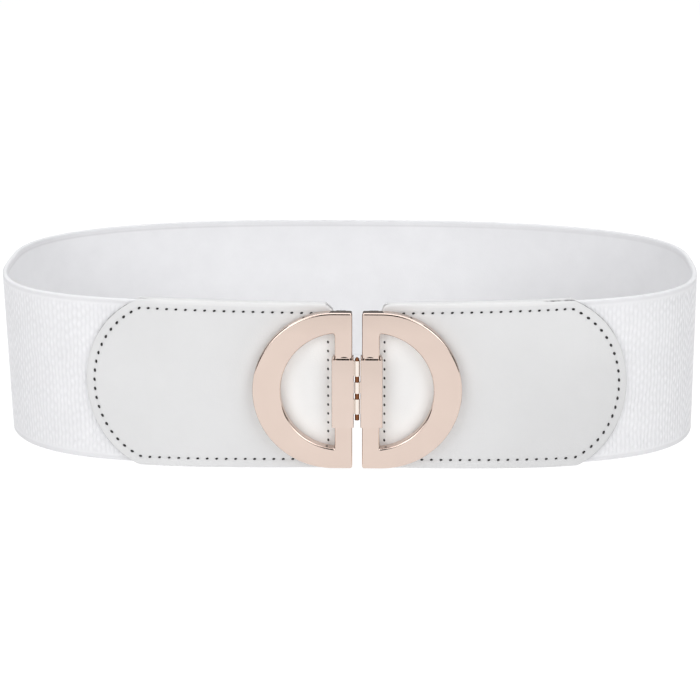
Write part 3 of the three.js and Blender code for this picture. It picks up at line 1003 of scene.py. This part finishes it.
slim_bar = block(
    (slim_start, slim_back, slim_bottom), (slim_end, slim_front, slim_top), edge=0.0005
)
rear_bar = block(
    (rear_bar_start, -rear_bar_half, -rear_bar_top),
    (rear_bar_end, rear_bar_half, rear_bar_top),
    edge=0.0006,
    segments=3,
)
posts = []
for foot, head in ((post_foot, rear_bar_top), (-rear_bar_top, -post_foot)):
    near, far = (post_start, -rear_bar_half, foot), (post_end, post_front, head)
    posts.append(block(near, far, edge=0.0003))
join_pieces([plate, slim_bar, rear_bar, *posts])


def mirrored(piece, name):
    """A copy of a right-hand piece of the clasp, turned over to the left of the seam."""
    alone(piece)
    bpy.ops.object.duplicate()
    copy = bpy.context.object
    bpy.ops.object.mode_set(mode="EDIT")
    bpy.ops.mesh.select_all(action="SELECT")
    bpy.ops.transform.resize(value=(-1, 1, 1), center_override=clasp)
    bpy.ops.mesh.normals_make_consistent(inside=False)
    bpy.ops.object.mode_set(mode="OBJECT")
    copy.name = copy.data.name = name
    return copy


def polish(piece):
    """Smooth shading with flat faces kept flat."""
    alone(piece)
    bpy.ops.object.shade_smooth_by_angle(angle=math.radians(35))
    apply_modifier(piece, "WEIGHTED_NORMAL", {"keep_sharp": True, "weight": 100})


# fine_polish: faint hairlines and smudges that a polished plated surface picks up
fine_polish, polish_in, polish_out = new_group(
    "fine_polish",
    [
        ("Vector", "NodeSocketVector"),
        ("Hairlines", "NodeSocketFloat"),
        ("Smooth", "NodeSocketFloat"),
        ("Rough", "NodeSocketFloat"),
        ("Deep", "NodeSocketColor"),
        ("Pale", "NodeSocketColor"),
    ],
    [
        ("Color", "NodeSocketColor"),
        ("Roughness", "NodeSocketFloat"),
        ("Height", "NodeSocketFloat"),
    ],
)
smudges = add_node(fine_polish, "ShaderNodeTexNoise", inputs={"Scale": 55.0, "Detail": 4.0})
smudge_range = add_node(
    fine_polish, "ShaderNodeMapRange", inputs={"From Min": 0.35, "From Max": 0.65}
)
smudge_rough = add_node(fine_polish, "ShaderNodeMapRange")
plating_mix = colour_mix(fine_polish)
hairline_turn = add_node(
    fine_polish, "ShaderNodeMapping", inputs={"Rotation": (0.0, 0.9, 0.0), "Scale": (1.0, 1.0, 14.0)}
)
hairline_noise = add_node(fine_polish, "ShaderNodeTexNoise", inputs={"Detail": 2.0})
link_nodes(
    fine_polish,
    (polish_in, "Vector", smudges, "Vector"),
    (smudges, "Fac", smudge_range, "Value"),
    (smudge_range, "Result", smudge_rough, "Value"),
    (polish_in, "Smooth", smudge_rough, "To Min"),
    (polish_in, "Rough", smudge_rough, "To Max"),
    (smudge_range, "Result", plating_mix, "Factor"),
    (polish_in, "Deep", plating_mix, mix_first),
    (polish_in, "Pale", plating_mix, mix_second),
    (polish_in, "Vector", hairline_turn, "Vector"),
    (hairline_turn, "Vector", hairline_noise, "Vector"),
    (polish_in, "Hairlines", hairline_noise, "Scale"),
    (plating_mix, mix_result, polish_out, "Color"),
    (smudge_rough, "Result", polish_out, "Roughness"),
    (hairline_noise, "Fac", polish_out, "Height"),
)


def plated_metal(name, deep, pale, smooth, rough, hairlines, strength, fade):
    """A polished plated metal with its own two tones and polish, paler where a painted highlight is
    set. Its fade is painted shade by height: the height where it begins, the height where it ends,
    and its tints at the two."""
    material, tree, shader = new_material(name)
    shader.inputs["Metallic"].default_value = 1.0
    where = add_node(tree, "ShaderNodeTexCoord")
    surface = place_group(
        tree,
        fine_polish,
        {"Hairlines": hairlines, "Smooth": smooth, "Rough": rough, "Deep": deep, "Pale": pale},
    )
    # a painted highlight that makes the colour paler
    painted_highlight = add_node(tree, "ShaderNodeAttribute", {"attribute_name": "painted_highlight"})
    painted_highlight_mix = colour_mix(tree)
    painted_highlight_mix.inputs[mix_second].default_value = (0.85, 0.78, 0.72, 1)
    bump = add_node(tree, "ShaderNodeBump", inputs={"Strength": strength, "Distance": 0.00005})
    height = add_node(tree, "ShaderNodeSeparateXYZ")
    # the fade paints shade: the colour is darker towards the top of the piece
    ends = dict(zip(("From Min", "From Max", "To Min", "To Max"), fade))
    top_shade_range = add_node(tree, "ShaderNodeMapRange", inputs=ends)
    top_shade_mix = colour_mix(tree, "MULTIPLY", 1.0)
    link_nodes(
        tree,
        (where, "Object", height, "Vector"),
        (height, "Z", top_shade_range, "Value"),
        (where, "Object", surface, "Vector"),
        (painted_highlight, "Fac", painted_highlight_mix, "Factor"),
        (surface, "Color", top_shade_mix, mix_first),
        (top_shade_range, "Result", top_shade_mix, mix_second),
        (top_shade_mix, mix_result, painted_highlight_mix, mix_first),
        (painted_highlight_mix, mix_result, shader, "Base Color"),
        (surface, "Roughness", shader, "Roughness"),
        (surface, "Height", bump, "Height"),
        (bump, "Normal", shader, "Normal"),
    )
    return material


rose_plating = plated_metal(
    "pale_rose_gold_plating",
    deep=(0.690, 0.563, 0.497, 1),
    pale=(0.722, 0.592, 0.522, 1),
    smooth=0.08,
    rough=0.13,
    hairlines=900.0,
    strength=0.03,
    fade=(0.0507, 0.0585, 1.0, 0.89),
)
frames = {"right": plate}
plate.name = plate.data.name = "right_frame"
frames["left"] = mirrored(plate, "left_frame")
for hand, made in frames.items():
    polish(made)
    made.data.materials.clear()
    made.data.materials.append(rose_plating)
    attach(made, "root")
    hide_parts(f"{hand}_d_frame")

# Clasp sleeves: a bent and plated sheet-metal box round the straight bar of each frame, open at
# its ends, where small lips turn in over the bar. Its hinge knuckles stand between the two
# sleeves, two on the left one and one on the right one.

sleeve_start = 0.00117
sleeve_end = 0.00897
sleeve_front = 0.0080
sleeve_bottom = -0.0130
sleeve_top = 0.01165
sleeve_corner = 0.0007
sleeve_wall = 0.0009
lip_spans = [(0.00122, 0.00166), (0.00798, 0.0085)]
lip_back = 0.0044
lip_front = 0.0072
lip_bottom = 0.0115
lip_top = 0.0129
hinge_depth = 0.0067
knuckle_radius = 0.0010
knuckle_bore = 0.00085
web_start = 0.0009
web_end = 0.0018
web_half = 0.0006
painted_highlight_reach = 0.00105
knuckles = {
    "left": [(0.01125, 0.00565), (-0.0027, -0.00815)],
    "right": [(0.0035, -0.0006)],
}

sleeve_plating = plated_metal(
    "sleeve_rose_gold_plating",
    deep=(0.680, 0.560, 0.497, 1),
    pale=(0.715, 0.590, 0.525, 1),
    smooth=0.10,
    rough=0.17,
    hairlines=1100.0,
    strength=0.035,
    fade=(0.0270, 0.0417, 1.03, 0.93),
)


def hinge_round(radius, bottom, top, vertices):
    """An upright round bar on the hinge's axis."""
    bpy.ops.object.select_all(action="DESELECT")
    bpy.ops.mesh.primitive_cylinder_add(
        vertices=vertices,
        radius=radius,
        depth=top - bottom,
        location=clasp_point(0, hinge_depth, (top + bottom) / 2),
    )
    bpy.ops.object.transform_apply(location=True, rotation=True, scale=True)
    return bpy.context.object


box = block(
    (sleeve_start, frame_back, sleeve_bottom), (sleeve_end, sleeve_front, sleeve_top)
)
bpy.ops.object.mode_set(mode="EDIT")
pick(box, "FACE", lambda middle, normal: abs(normal.z) > 0.99)
bpy.ops.mesh.delete(type="FACE")
pick(box, "EDGE", lambda middle, way: abs(way.z) > 0.99)
bpy.ops.mesh.bevel(offset=sleeve_corner, segments=6, affect="EDGES")
bpy.ops.object.mode_set(mode="OBJECT")
wall = {"thickness": sleeve_wall, "offset": -1.0, "use_even_offset": True}
apply_modifier(box, "SOLIDIFY", wall)
round_edges(box, 0.0003, segments=3)
lips = []
for start, end in lip_spans:
    near, far = (start, lip_back, lip_bottom), (end, lip_front, lip_top)
    lips.append(block(near, far, edge=0.0002, segments=3))
join_pieces([box, *lips])

sleeves = {"right": box}
box.name = box.data.name = "right_sleeve"
sleeves["left"] = mirrored(box, "left_sleeve")
for hand, made in sleeves.items():
    parts = [made]
    side = 1 if hand == "right" else -1
    for top, bottom in knuckles[hand]:
        knuckle = hinge_round(knuckle_radius, bottom, top, 40)
        cut(knuckle, hinge_round(knuckle_bore, bottom - 0.001, top + 0.001, 40))
        round_edges(knuckle, 0.00006, segments=2)
        web = block(
            (side * web_start, hinge_depth - web_half, bottom),
            (side * web_end, hinge_depth + web_half, top),
            edge=0.0001,
        )
        parts += [knuckle, web]
    join_pieces(parts)
    # a painted highlight on the hinge knuckles, next to the seam
    knuckle_painted_highlight = made.data.attributes.new("painted_highlight", "FLOAT", "POINT")
    for vert in made.data.vertices:
        knuckle_painted_highlight.data[vert.index].value = float(abs(vert.co.x - clasp.x) < painted_highlight_reach)
    polish(made)
    made.data.materials.clear()
    made.data.materials.append(sleeve_plating)
    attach(made, "root")
    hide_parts(f"{hand}_clasp_sleeve")

# Hinge pin: a copper-coloured steel pin, 1.6 mm thick, pushed through the knuckles from above. Its
# head is a little wider and round.

pin_radius = 0.00081
pin_bottom = -0.0104
pin_top = 0.01115
head_steps = [(0.0001, 1.08), (0.0004, 0.98), (0.0004, 0.8), (0.0003, 0.6), (0.0002, 0.5)]

pin = hinge_round(pin_radius, pin_bottom, pin_top, 40)
bpy.ops.object.mode_set(mode="EDIT")
pin_end = clasp_point(0, 0, pin_top).z
pick(pin, "FACE", lambda middle, normal: normal.z > 0.9 and middle.z > pin_end - 1e-5)
for rise, wide in head_steps:
    bpy.ops.mesh.extrude_region_move(TRANSFORM_OT_translate={"value": (0, 0, rise)})
    bpy.ops.transform.resize(
        value=(wide, wide, 1), center_override=clasp_point(0, hinge_depth, 0)
    )
bpy.ops.object.mode_set(mode="OBJECT")
pin_plating = plated_metal(
    "dark_copper_plating",
    deep=(0.19, 0.072, 0.030, 1),
    pale=(0.26, 0.104, 0.046, 1),
    smooth=0.22,
    rough=0.34,
    hairlines=1500.0,
    strength=0.06,
    fade=(0.0200, 0.0430, 1.0, 0.95),
)
polish(pin)
pin.name = pin.data.name = "hinge_pin_piece"
pin.data.materials.clear()
pin.data.materials.append(pin_plating)
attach(pin, "root")
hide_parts("hinge_pin")

# Studio: a white floor lit from below, a wide soft light overhead, one soft light on each side in
# front and one behind, in a room that is darkest on the camera's side. The camera stands in front
# and a little above.

bpy.ops.object.select_all(action="DESELECT")
bpy.ops.mesh.primitive_plane_add(size=9, location=(0, 0, 0))
floor = bpy.context.object
floor.name = "studio_floor"
floor_paint, _, floor_shader = new_material("white_studio_floor")
floor_shader.inputs["Base Color"].default_value = (0.16, 0.16, 0.16, 1)
floor_shader.inputs["Roughness"].default_value = 0.9
floor_shader.inputs["Specular IOR Level"].default_value = 0.1
floor_shader.inputs["Emission Color"].default_value = (1.0, 1.0, 1.0, 1)
floor_shader.inputs["Emission Strength"].default_value = 0.92
floor.data.materials.append(floor_paint)


def soft_light(name, place_at, aim, width, height, power):
    """A rectangular soft light that shines from one point at another."""
    light = bpy.data.lights.new(name, "AREA")
    light.shape = "RECTANGLE"
    light.size, light.size_y = width, height
    light.energy = power
    lamp = bpy.data.objects.new(name, light)
    bpy.context.scene.collection.objects.link(lamp)
    lamp.location = place_at
    lamp.rotation_mode = "QUATERNION"
    lamp.rotation_quaternion = (Vector(aim) - Vector(place_at)).to_track_quat("-Z", "Y")


soft_light("overhead_softbox", (-0.1, -0.1, 1.5), (-0.1, -0.1, 0), 2.6, 1.6, 26)
soft_light("left_softbox", (-0.95, -1.45, 0.8), (0, 0, 0.03), 1.1, 1.1, 11)
soft_light("right_softbox", (1.0, -1.4, 0.8), (0, 0, 0.03), 1.0, 1.1, 10.5)
soft_light("back_softbox", (0.1, 1.3, 1.4), (0, 0, 0.03), 1.6, 0.8, 5)

room = bpy.data.worlds.new("studio_room")
room.use_nodes = True
room_light = room.node_tree.nodes["Background"]
room_light.inputs["Color"].default_value = (0.97, 0.98, 1.0, 1)
room_place = add_node(room.node_tree, "ShaderNodeTexCoord")
room_way = add_node(room.node_tree, "ShaderNodeSeparateXYZ")
room_range = add_node(
    room.node_tree,
    "ShaderNodeMapRange",
    inputs={"From Min": -0.4, "From Max": 0.6, "To Min": 0.04, "To Max": 0.2},
)
link_nodes(
    room.node_tree,
    (room_place, "Generated", room_way, "Vector"),
    (room_way, "Y", room_range, "Value"),
    (room_range, "Result", room_light, "Strength"),
)
bpy.context.scene.world = room
bpy.context.scene.view_settings.view_transform = "Standard"

# The fitted camera, with the photo's width and its focal length in pixels
camera_distance = 0.860
camera_rise = math.radians(14.32)
camera_turn = math.radians(1.2)
sensor_width = 36
photo_width = 700
photo_focal = 2210
loop_middle = Vector((0.0, plan_shift, clasp_height))
aim_shift = Vector((-0.0001, 0.0, -0.0080))
back = Vector(
    (
        math.cos(camera_rise) * math.sin(camera_turn),
        -math.cos(camera_rise) * math.cos(camera_turn),
        math.sin(camera_rise),
    )
)
camera_data = bpy.data.cameras.new("photo_camera")
camera_data.sensor_width = sensor_width
camera_data.lens = sensor_width * photo_focal / photo_width
camera = bpy.data.objects.new("photo_camera", camera_data)
bpy.context.scene.collection.objects.link(camera)
camera.location = loop_middle + back * camera_distance
aim = loop_middle + aim_shift
camera.rotation_mode = "QUATERNION"
camera.rotation_quaternion = (aim - camera.location).to_track_quat("-Z", "Y")
bpy.context.scene.camera = camera
